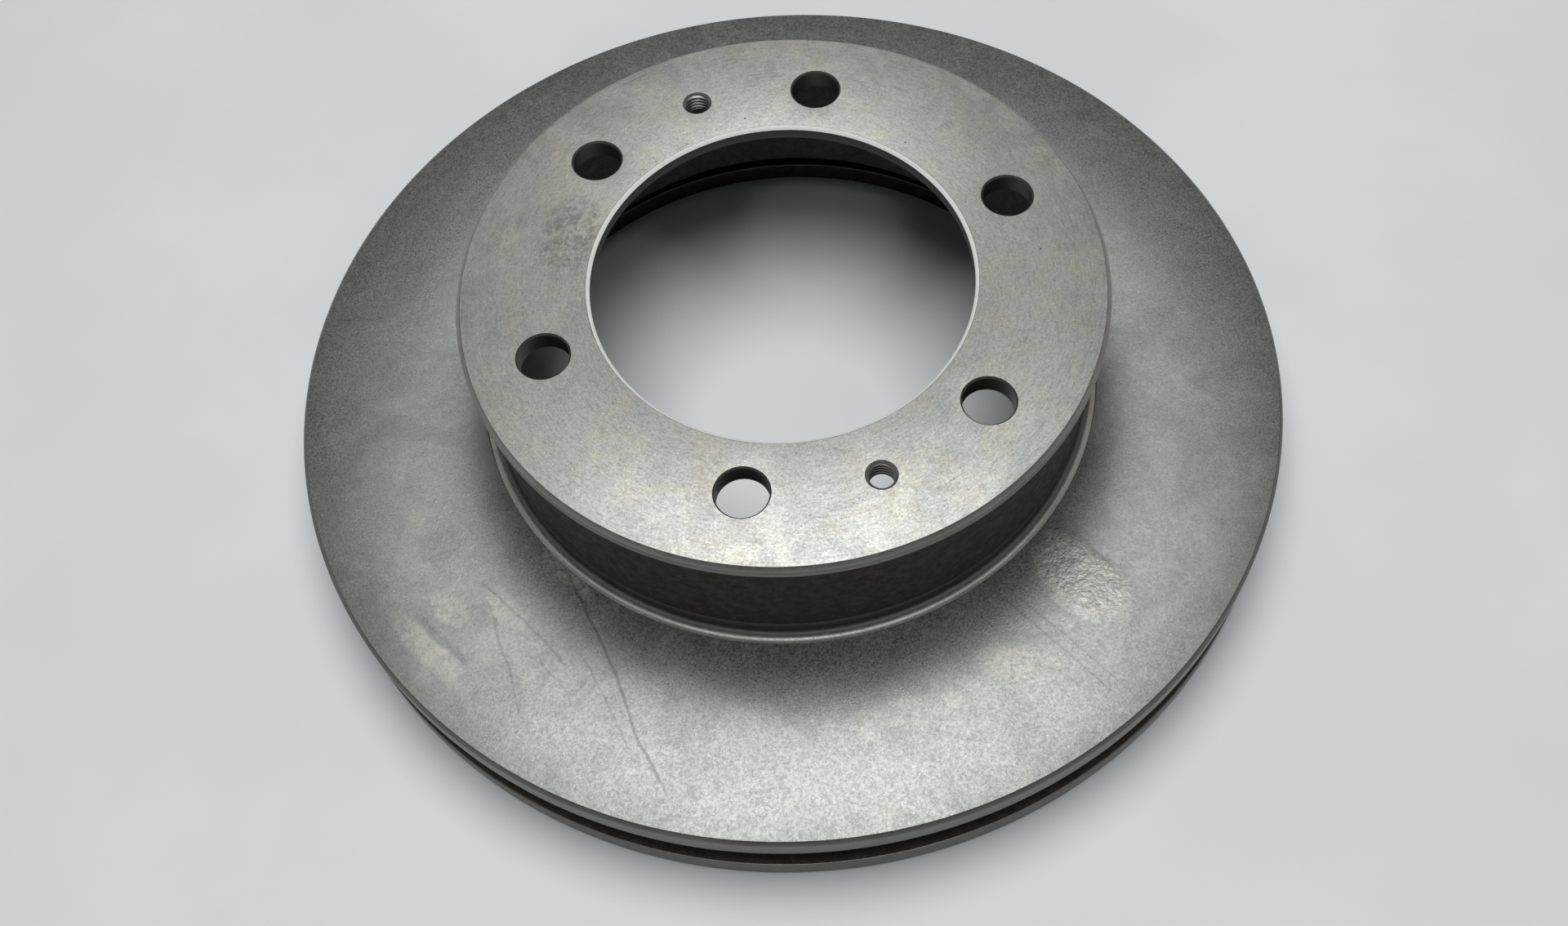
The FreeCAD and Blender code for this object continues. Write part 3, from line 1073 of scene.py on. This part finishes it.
@dataclass(frozen=True)
class HatFlange:
    """The top of the hat, with the pilot bore, the stud holes and the jack-screw holes."""

    sizes: DiscSizes
    lathe: Lathe
    tap: ThreadTap = ThreadTap()
    bore_chamfer: float = 1.0 * MM
    bore_lead_in: float = 2.2 * MM
    land_chamfer: float = 1.2 * MM
    stud_chamfer: float = 0.5 * MM
    sink_radius: float = 4.4 * MM
    edge_break: float = 0.12 * MM
    past: float = 2 * MM
    hole_facets: int = 72
    smudge: Mark = Mark((-42, 52), (-60, 20), 22)

    def build(self) -> bpy.types.Object:
        """Turns the flange, drills its holes and taps two of them.

        Returns:
            The flange.
        """
        s = self.sizes
        soft = self.edge_break
        flange = self.lathe.turn("hat_flange_turned", [
            Corner(s.bore + self.bore_lead_in, s.hub_seat, soft),
            Corner(s.seat, s.hub_seat),
            Corner(s.seat, s.land_foot),
            Corner(s.land, s.land_foot, soft),
            Corner(s.land, s.mounting_face - self.land_chamfer, soft),
            Corner(s.land - self.land_chamfer, s.mounting_face, soft),
            Corner(s.bore + self.bore_chamfer, s.mounting_face, soft),
            Corner(s.bore, s.mounting_face - self.bore_chamfer, soft),
            Corner(s.bore, s.hub_seat + self.bore_lead_in, soft),
        ])
        step = FULL_TURN / s.stud_count
        drills = [self.stud_drill(number * step) for number in range(s.stud_count)]
        drills += [self.jack_drill(way) for way in self.jack_ways()]
        cut(flange, joined(drills))
        cut(flange, joined([self.jack_tap(way) for way in self.jack_ways()]))
        smooth(flange)
        return flange

    def jack_ways(self) -> list[Vector]:
        """Gives the centre of each jack-screw hole."""
        holes = [mount("jack_screw_hole_a"), mount("jack_screw_hole_b")]
        return [Vector((hole["pos_m"][0], hole["pos_m"][1], 0)) for hole in holes]

    def drill_bit(self, name: str, radius: float, top: float, bottom: float) -> bpy.types.Object:
        """Makes a drill that also chamfers both mouths of its hole.

        Args:
            name: The cutter's name.
            radius: The hole's radius.
            top: Width of the 45 degree chamfer at the mounting face.
            bottom: Width of the chamfer at the hub seat.

        Returns:
            The cutter, about the Z axis.
        """
        s = self.sizes
        corners = [
            Corner(radius + bottom + self.past, s.hub_seat - self.past),
            Corner(radius, s.hub_seat + bottom),
            Corner(radius, s.mounting_face - top),
            Corner(radius + top + self.past, s.mounting_face + self.past),
        ]
        first = corners[0]
        bit = primitive(name, bpy.ops.mesh.primitive_circle_add, vertices=self.hole_facets,
                        radius=first.radius, fill_type="NGON", location=(0, 0, first.height))
        with edit_mode(bit):
            bpy.ops.mesh.select_all(action="SELECT")
            for before, after in zip(corners, corners[1:]):
                self.lathe.draw_on(before, after)
        smooth(bit)
        return bit

    def stud_drill(self, angle: float) -> bpy.types.Object:
        """Makes the cutter of one stud hole, at its angle on the stud circle."""
        chamfer = self.stud_chamfer
        bit = self.drill_bit("stud_drill", self.sizes.stud_hole, chamfer, chamfer)
        reach = self.sizes.stud_circle
        bit.location = (reach * math.cos(angle), reach * math.sin(angle), 0)
        apply_place(bit)
        return bit

    def jack_drill(self, way: Vector) -> bpy.types.Object:
        """Makes the drill and countersink of one jack-screw hole."""
        sink = self.sink_radius - self.sizes.tap_drill
        bit = self.drill_bit("jack_drill", self.sizes.tap_drill, sink, self.stud_chamfer)
        bit.location = way
        apply_place(bit)
        return bit

    def jack_tap(self, way: Vector) -> bpy.types.Object:
        """Makes the tap of one jack-screw hole."""
        s = self.sizes
        tap = self.tap.make(s.tap_drill, s.hub_seat - self.past, s.mounting_face)
        tap.location = way
        apply_place(tap)
        return tap

    def dress(self, piece: bpy.types.Object, shop: FinishShop) -> None:
        """Gives the flat faces, the edges and the holes their own finishes, and paints a highlight on the
        bore's chamfer.
        """
        s = self.sizes

        def flat_face(centre: Vector, normal: Vector) -> bool:
            on_top = abs(centre.z - s.mounting_face) < NEAR
            return abs(normal.z) > FLAT and (on_top or abs(centre.z - s.hub_seat) < NEAR)

        def in_jack_hole(centre: Vector) -> bool:
            reach = self.sink_radius + NEAR
            return any(away(centre - way) < reach for way in jacks)

        def hole_wall(centre: Vector, normal: Vector) -> bool:
            return away(centre) < s.seat and abs(normal.z) < FLAT and not in_jack_hole(centre)

        def painted_highlight_chamfer(centre: Vector, normal: Vector) -> bool:
            at_bore = away(centre) < s.bore + self.bore_chamfer + NEAR
            return at_bore and SLANTED < normal.z < FLAT

        jacks = self.jack_ways()
        shop.dress(piece, TurnedEdge(), [
            (TurnedFace(smudge=self.smudge), flat_face),
            (BoredWall(), hole_wall),
            (PaintedHighlightChamfer(), painted_highlight_chamfer),
        ])


@dataclass(frozen=True)
class HatWall:
    """The wall of the hat, as cast, with a turned foot and the relief groove."""

    sizes: DiscSizes
    lathe: Lathe
    land_overhang: float = 2.5 * MM
    thickness: float = 5.5 * MM
    groove_radius: float = 2.6 * MM
    groove_depth: float = 1.3 * MM
    inner_round: float = 4.9 * MM
    turned_from: float = 5.2 * MM
    turned_step: float = 0.12 * MM
    round_steps: int = 10

    def build(self) -> bpy.types.Object:
        """Turns the wall.

        Returns:
            The wall.
        """
        s = self.sizes
        outside = s.land - self.land_overhang
        inside = outside - self.thickness
        floor = s.outboard_face - self.groove_depth
        band = s.outboard_face + self.turned_from
        return self.lathe.turn("hat_wall_cast", [
            Corner(outside, s.land_foot),
            Corner(outside, band),
            Corner(outside - self.turned_step, band - self.turned_step),
            Corner(outside - self.turned_step, floor, self.groove_radius, self.round_steps),
            Corner(s.friction_inner, floor),
            Corner(s.friction_inner, s.outboard_back),
            Corner(inside, s.outboard_back, self.inner_round, self.round_steps),
            Corner(inside, s.hub_seat, self.inner_round, self.round_steps),
            Corner(s.seat, s.hub_seat),
            Corner(s.seat, s.land_foot),
        ])

    def dress(self, piece: bpy.types.Object, shop: FinishShop) -> None:
        """Leaves the wall as cast, and turns its foot and groove bright."""
        s = self.sizes
        outside = s.land - self.land_overhang
        band = s.outboard_face + self.turned_from

        def turned_foot(centre: Vector, normal: Vector) -> bool:
            outer = away(centre) > outside - 2 * self.turned_step
            return outer and s.outboard_back + NEAR < centre.z < band

        shop.dress(piece, CastSkin(), [(TurnedEdge(), turned_foot)])


@dataclass(frozen=True)
class FrictionPlate:
    """One of the two friction plates: a ground face, turned edges and a cast back."""

    sizes: DiscSizes
    lathe: Lathe
    side: Side
    chamfer: float = 1.0 * MM
    edge_break: float = 0.12 * MM
    back_round: float = 0.35 * MM
    rim_colour: Colour = (0.175, 0.172, 0.165)
    # The marks are placed across the disc's axis; the streaks below are painted reflections in the face's
    # oil film.
    reflection_streaks: tuple[Mark, ...] = (
        Mark((-84, -40), (-78, -116), 1.3, 0.9, 0.3),
        Mark((-107, -39), (-106, -80), 1.0, 0.5),
        Mark((-107, -34), (-91, -70), 1.1, 0.6),
        Mark((-99, -58), (-94, -82), 1.0, 0.4),
        Mark((-88, -66), (-83, -100), 1.0, 0.45),
        Mark((-127, -38), (-117, -58), 3.6, 0.6),
        Mark((24, -94), (41, -134), 1.1, 0.55, 0.1),
        Mark((28, -95), (44, -133), 0.9, 0.5, 0.1),
    )
    # Pale deposits; the broad band across the front by the hat's foot is painted light.
    deposits_and_painted_light: tuple[Mark, ...] = (
        Mark((-122, -32), (-112, -46), 9.0),
        Mark((-133, -34), (-118, -66), 10.0),
        Mark((-106, -36), (-98, -56), 9.0, 0.8),
        Mark((-88, -30), (-79, -54), 7.0),
        Mark((8, -108), (34, -124), 12.0, 0.9),
        Mark((-30, -112), (6, -118), 10.0, 0.6),
        # Painted light: a broad pale band that brightens the face by the hat's foot.
        Mark((-72, -70), (36, -98), 26.0, 0.4),
    )
    crust: tuple[Mark, ...] = (
        Mark((41, -80), (55, -116), 22.0, 1.0, 1.0),
    )

    def build(self) -> bpy.types.Object:
        """Turns the plate.

        Returns:
            The plate.
        """
        s = self.sizes
        soft, back = self.edge_break, self.back_round
        if self.side is Side.OUTBOARD:
            corners = [
                Corner(s.friction_inner, s.outboard_back),
                Corner(s.outer, s.outboard_back, back),
                Corner(s.outer, s.outboard_face - self.chamfer, soft),
                Corner(s.outer - self.chamfer, s.outboard_face, soft),
                Corner(s.friction_inner, s.outboard_face, soft),
            ]
        else:
            corners = [
                Corner(s.friction_inner, s.inboard_face + self.chamfer, soft),
                Corner(s.friction_inner + self.chamfer, s.inboard_face, soft),
                Corner(s.outer - self.chamfer, s.inboard_face, soft),
                Corner(s.outer, s.inboard_face + self.chamfer, soft),
                Corner(s.outer, s.inboard_back, back),
                Corner(s.friction_inner, s.inboard_back, back),
            ]
        return self.lathe.turn(f"{self.side.value}_ground", corners)

    def dress(self, piece: bpy.types.Object, shop: FinishShop) -> None:
        """Grinds the face, turns the edges and leaves the back as cast."""
        s = self.sizes
        outboard = self.side is Side.OUTBOARD
        face = s.outboard_face if outboard else s.inboard_face
        back = s.outboard_back if outboard else s.inboard_back

        def ground(centre: Vector, normal: Vector) -> bool:
            return abs(centre.z - face) < NEAR

        def cast(centre: Vector, normal: Vector) -> bool:
            inner_edge = away(centre) < s.friction_inner + NEAR and not outboard
            return abs(centre.z - back) < NEAR or inner_edge

        if outboard:
            ground_finish = GroundFace(s.outer, self.reflection_streaks, self.deposits_and_painted_light, self.crust)
        else:
            ground_finish = GroundFace(s.outer, name="ground_face_inboard")
        rim = TurnedEdge(name="turned_rim", colour=self.rim_colour)
        shop.dress(piece, rim, [(ground_finish, ground), (CastSkin(), cast)])


@dataclass(frozen=True)
class CoolingVanes:
    """The radial vanes that hold the two plates apart, with cast fillets at both ends."""

    sizes: DiscSizes
    count: int
    end_radius: float = 2.2 * MM
    fillet: float = 2.0 * MM
    fillet_steps: int = 6
    end_steps: int = 5

    def build(self) -> list[bpy.types.Object]:
        """Models one vane and copies it round the axis.

        Returns:
            The vanes, in the order of their nodes.
        """
        pattern = self.one_vane()
        step = FULL_TURN / self.count
        vanes = [copy_of(pattern, f"vane_cast_{number + 1:02d}", Matrix.Rotation(number * step, 4, "Z"))
                 for number in range(self.count)]
        bpy.data.objects.remove(pattern)
        return vanes

    def one_vane(self) -> bpy.types.Object:
        """Models the vane that lies along the X axis.

        Returns:
            The vane.
        """
        low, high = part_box("vane_01")
        size, middle = high - low, (low + high) / 2
        web_height = size.z - 2 * self.fillet
        vane = primitive("vane_pattern", bpy.ops.mesh.primitive_cube_add, size=1, location=middle,
                         scale=(size.x, size.y, web_height))
        with edit_mode(vane):
            select_edges(vane, lambda a, b: abs(a.z - b.z) > web_height / 2)
            bpy.ops.mesh.bevel(offset=self.end_radius, segments=self.end_steps, affect="EDGES",
                               profile=ROUND)
            for way in (1, -1):
                self.flare(vane, middle, size, web_height, way)
        smooth(vane)
        return vane

    def flare(self, vane: bpy.types.Object, middle: Vector, size: Vector, web_height: float,
              way: int) -> None:
        """Extrudes one end of the vane to its plate, spreading it in a quarter round.

        Args:
            vane: The vane, in edit mode.
            middle: The vane's middle.
            size: The vane's size.
            web_height: Height of the straight part of the vane.
            way: 1 for the upper end and -1 for the lower one.
        """
        end = middle.z + way * web_height / 2
        select_faces(vane, lambda centre, normal: abs(centre.z - end) < NEAR and abs(normal.z) > FLAT)
        reach, rise = 0.0, 0.0
        for step in range(1, self.fillet_steps + 1):
            angle = step / self.fillet_steps * math.pi / 2
            next_reach = self.fillet * (1 - math.cos(angle))
            next_rise = self.fillet * math.sin(angle)
            lift = (0, 0, way * (next_rise - rise))
            bpy.ops.mesh.extrude_region_move(TRANSFORM_OT_translate={"value": lift})
            spread = [(width + 2 * next_reach) / (width + 2 * reach) for width in (size.x, size.y)]
            bpy.ops.transform.resize(value=(*spread, 1), center_override=middle)
            reach, rise = next_reach, next_rise

    def dress(self, vanes: list[bpy.types.Object], shop: FinishShop) -> None:
        """Gives every vane the cast skin."""
        for vane in vanes:
            shop.dress(vane, CastSkin())


# ---------------------------------------------------------------------------------------
# The studio
# ---------------------------------------------------------------------------------------


@dataclass(frozen=True)
class SoftLight:
    """An oval soft light that points at the disc."""

    name: str
    width: float
    depth: float
    place: tuple[float, float, float]
    power: float
    colour: Colour = (1.0, 1.0, 1.0)

    def hang(self, target: Vector) -> bpy.types.Object:
        """Adds the light.

        Args:
            target: The point that it faces.

        Returns:
            The light.
        """
        data = bpy.data.lights.new(self.name, "AREA")
        data.shape = "ELLIPSE"
        data.size = self.width
        data.size_y = self.depth
        data.energy = self.power
        data.color = self.colour
        lamp = bpy.data.objects.new(self.name, data)
        bpy.context.scene.collection.objects.link(lamp)
        lamp.location = self.place
        lamp.rotation_euler = (target - Vector(self.place)).to_track_quat("-Z", "Y").to_euler()
        return lamp


@dataclass(frozen=True)
class Studio:
    """The pale floor, the soft light over it and the surroundings."""

    sizes: DiscSizes
    floor_radius: float = 1.0
    floor_facets: int = 96
    overhead: Colour = (0.075, 0.077, 0.080)
    horizon: Colour = (0.55, 0.56, 0.57)
    horizon_top: float = 0.12
    overhead_from: float = 0.62
    lights: tuple[SoftLight, ...] = (
        SoftLight("overhead_soft_box", width=1.05, depth=1.2, place=(0.03, 0.08, 1.25), power=13.6),
    )

    def build(self, shop: FinishShop) -> None:
        """Lays the floor, hangs the lights and sets the surroundings.

        Args:
            shop: Makes the floor's finish.
        """
        floor = primitive("studio_floor", bpy.ops.mesh.primitive_circle_add,
                          vertices=self.floor_facets, radius=self.floor_radius, fill_type="NGON",
                          location=(0, 0, self.sizes.inboard_face))
        shop.dress(floor, PaleFloor())
        for light in self.lights:
            light.hang(Vector((0, 0, self.sizes.outboard_face)))
        self.surround()
        bpy.context.scene.view_settings.view_transform = "Standard"

    def surround(self) -> None:
        """Makes the surroundings, which are pale near the horizon and dim overhead."""
        world = bpy.data.worlds.new("studio_surround")
        world.use_nodes = True
        nodes, links = world.node_tree.nodes, world.node_tree.links
        split = nodes.new("ShaderNodeSeparateXYZ")
        share = nodes.new("ShaderNodeMapRange")
        share.interpolation_type = "SMOOTHSTEP"
        share.inputs["From Min"].default_value = self.horizon_top
        share.inputs["From Max"].default_value = self.overhead_from
        tone = nodes.new("ShaderNodeMix")
        tone.data_type = "RGBA"
        tone.inputs[MIX_FIRST].default_value = paint(self.horizon)
        tone.inputs[MIX_SECOND].default_value = paint(self.overhead)
        links.new(nodes.new("ShaderNodeTexCoord").outputs["Generated"], split.inputs[0])
        links.new(split.outputs["Z"], share.inputs["Value"])
        links.new(share.outputs["Result"], tone.inputs[0])
        links.new(tone.outputs[MIX_RESULT], nodes["Background"].inputs["Color"])
        bpy.context.scene.world = world


@dataclass(frozen=True)
class Camera:
    """A camera that looks down on the hat from one side.

    Attributes:
        azimuth: Where it stands about the axis; 0 looks along +Y.
        elevation: How far above the horizon it stands.
        roll: How far it is turned about its line of sight.
        distance: From the point that it aims at.
        aim: The point that it aims at, on the mounting face.
        lens: Focal length, in millimetres.
        sensor: Width of the sensor, in millimetres.
        shift: Lens shift, in sensor widths.
        clip: The nearest and the furthest distance that it sees.
    """

    azimuth: float = math.radians(-18.72)
    elevation: float = math.radians(57.52)
    roll: float = math.radians(-3.9)
    distance: float = 407.2 * MM
    aim: tuple[float, float, float] = (-7.91 * MM, -35.75 * MM, 6.5 * MM)
    lens: float = 35.02
    sensor: float = 36.0
    shift: Point = (-0.0124, -0.0517)
    clip: Span = (0.01, 20.0)

    def place(self) -> bpy.types.Object:
        """Adds the camera and makes it the scene's own.

        Returns:
            The camera.
        """
        flat = math.cos(self.elevation)
        back = Vector((math.sin(self.azimuth) * flat, -math.cos(self.azimuth) * flat,
                       math.sin(self.elevation)))
        data = bpy.data.cameras.new("camera")
        data.lens = self.lens
        data.sensor_width = self.sensor
        data.shift_x, data.shift_y = self.shift
        data.clip_start, data.clip_end = self.clip
        camera = bpy.data.objects.new("camera", data)
        bpy.context.scene.collection.objects.link(camera)
        turn = Matrix.Rotation(self.azimuth, 4, "Z") @ Matrix.Rotation(math.pi / 2 - self.elevation, 4, "X")
        turn = turn @ Matrix.Rotation(self.roll, 4, "Z")
        camera.matrix_world = Matrix.Translation(Vector(self.aim) + back * self.distance) @ turn
        bpy.context.scene.camera = camera
        return camera


# ---------------------------------------------------------------------------------------
# Putting it together
# ---------------------------------------------------------------------------------------


@dataclass
class BrakeDisc:
    """The whole disc: it builds each region, dresses it and puts it in its node's place."""

    sizes: DiscSizes
    shop: FinishShop
    lathe: Lathe = field(default_factory=Lathe)

    def stand_in(self, piece: bpy.types.Object, node: str) -> None:
        """Makes a piece stand for a CAD node and ride with the disc.

        Args:
            piece: The finished piece.
            node: The CAD node that it stands for.
        """
        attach(piece, BODY)
        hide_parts(node)
        log.info("%s: %d faces, stands for %s", piece.name, len(piece.data.polygons), node)

    def build(self) -> None:
        """Builds every region of the disc."""
        regions = {
            "hat_flange": HatFlange(self.sizes, self.lathe),
            "hat_wall": HatWall(self.sizes, self.lathe),
            Side.OUTBOARD.value: FrictionPlate(self.sizes, self.lathe, Side.OUTBOARD),
            Side.INBOARD.value: FrictionPlate(self.sizes, self.lathe, Side.INBOARD),
        }
        for node, region in regions.items():
            piece = region.build()
            region.dress(piece, self.shop)
            self.stand_in(piece, node)
        nodes = sorted(name for name in frame["nodes"] if name.startswith("vane_"))
        vane_ring = CoolingVanes(self.sizes, count=len(nodes))
        vanes = vane_ring.build()
        vane_ring.dress(vanes, self.shop)
        for vane, node in zip(vanes, nodes):
            self.stand_in(vane, node)


def write_sizes() -> None:
    """Updates the view layer."""
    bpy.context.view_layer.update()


def main() -> None:
    """Builds the disc, then the studio and the camera."""
    sizes = DiscSizes.from_frame()
    shop = FinishShop()
    BrakeDisc(sizes, shop).build()
    Studio(sizes).build(shop)
    Camera().place()
    write_sizes()


if __name__ == "__main__":
    main()
